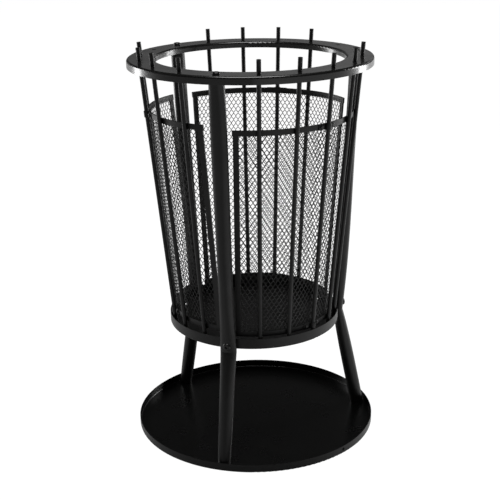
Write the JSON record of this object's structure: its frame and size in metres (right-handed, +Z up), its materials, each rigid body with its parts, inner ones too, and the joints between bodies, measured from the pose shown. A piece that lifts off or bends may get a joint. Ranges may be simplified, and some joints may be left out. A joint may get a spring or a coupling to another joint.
{
  "type": "fire basket with spark guard",
  "caption": "Conical fire basket of round bars between a channel ring and a rimmed pan, with diamond-mesh spark guards, bent tube legs and a loose round ash plate.",
  "frame": {"origin": "centre of the ash plate's underside, on the floor", "axes": "+Z up along the basket's axis; -Y is the front, and one leg stands 16 degrees to the left of it"},
  "size_m": [0.4599, 0.46, 0.7424],
  "materials": {
    "plate_sheet": "satin black heat-resistant paint on pressed steel sheet",
    "pan_sheet": "satin black heat-resistant paint on pressed steel sheet",
    "ring_sheet": "semi-gloss black heat-resistant paint on a pressed steel channel",
    "painted_rod": "satin black paint on drawn steel rod",
    "painted_tube": "satin black paint on steel tube",
    "guard_strip": "satin black paint on flat steel strip",
    "guard_mesh": "satin black paint on steel diamond mesh",
    "black_fasteners": "black oxide steel fasteners",
    "plug_steel": "plain steel plug, black oxide"
  },
  "bodies": {
    "ash_tray": {"ash_plate": "plate_sheet"},
    "basket": {"bar_01": "painted_rod", "bar_02": "painted_rod", "bar_03": "painted_rod", "bar_04": "painted_rod", "bar_05": "painted_rod", "bar_06": "painted_rod", "bar_07": "painted_rod", "bar_08": "painted_rod", "bar_09": "painted_rod", "bar_10": "painted_rod", "bar_11": "painted_rod", "bar_12": "painted_rod", "bar_13": "painted_rod", "basket_pan": "pan_sheet", "clip_screws_1": "black_fasteners", "clip_screws_2": "black_fasteners", "clip_screws_3": "black_fasteners", "guard_bottom_rail_1": "guard_strip", "guard_bottom_rail_2": "guard_strip", "guard_bottom_rail_3": "guard_strip", "guard_clips_1": "guard_strip", "guard_clips_2": "guard_strip", "guard_clips_3": "guard_strip", "guard_mesh_1": "guard_mesh", "guard_mesh_2": "guard_mesh", "guard_mesh_3": "guard_mesh", "guard_stile_left_1": "guard_strip", "guard_stile_left_2": "guard_strip", "guard_stile_left_3": "guard_strip", "guard_stile_right_1": "guard_strip", "guard_stile_right_2": "guard_strip", "guard_stile_right_3": "guard_strip", "guard_top_rail_1": "guard_strip", "guard_top_rail_2": "guard_strip", "guard_top_rail_3": "guard_strip", "leg_1": "painted_tube", "leg_2": "painted_tube", "leg_3": "painted_tube", "leg_plug_1": "plug_steel", "leg_plug_2": "plug_steel", "leg_plug_3": "plug_steel", "pan_bolts": "black_fasteners", "pan_nuts": "black_fasteners", "ring_bolts": "black_fasteners", "top_ring": "ring_sheet"}
  },
  "joints": [
    {"name": "basket_lift", "type": "slide", "parent": "ash_tray", "child": "basket", "axis": [0, 0, 1], "range_m": [0, 0.08]}
  ]
}
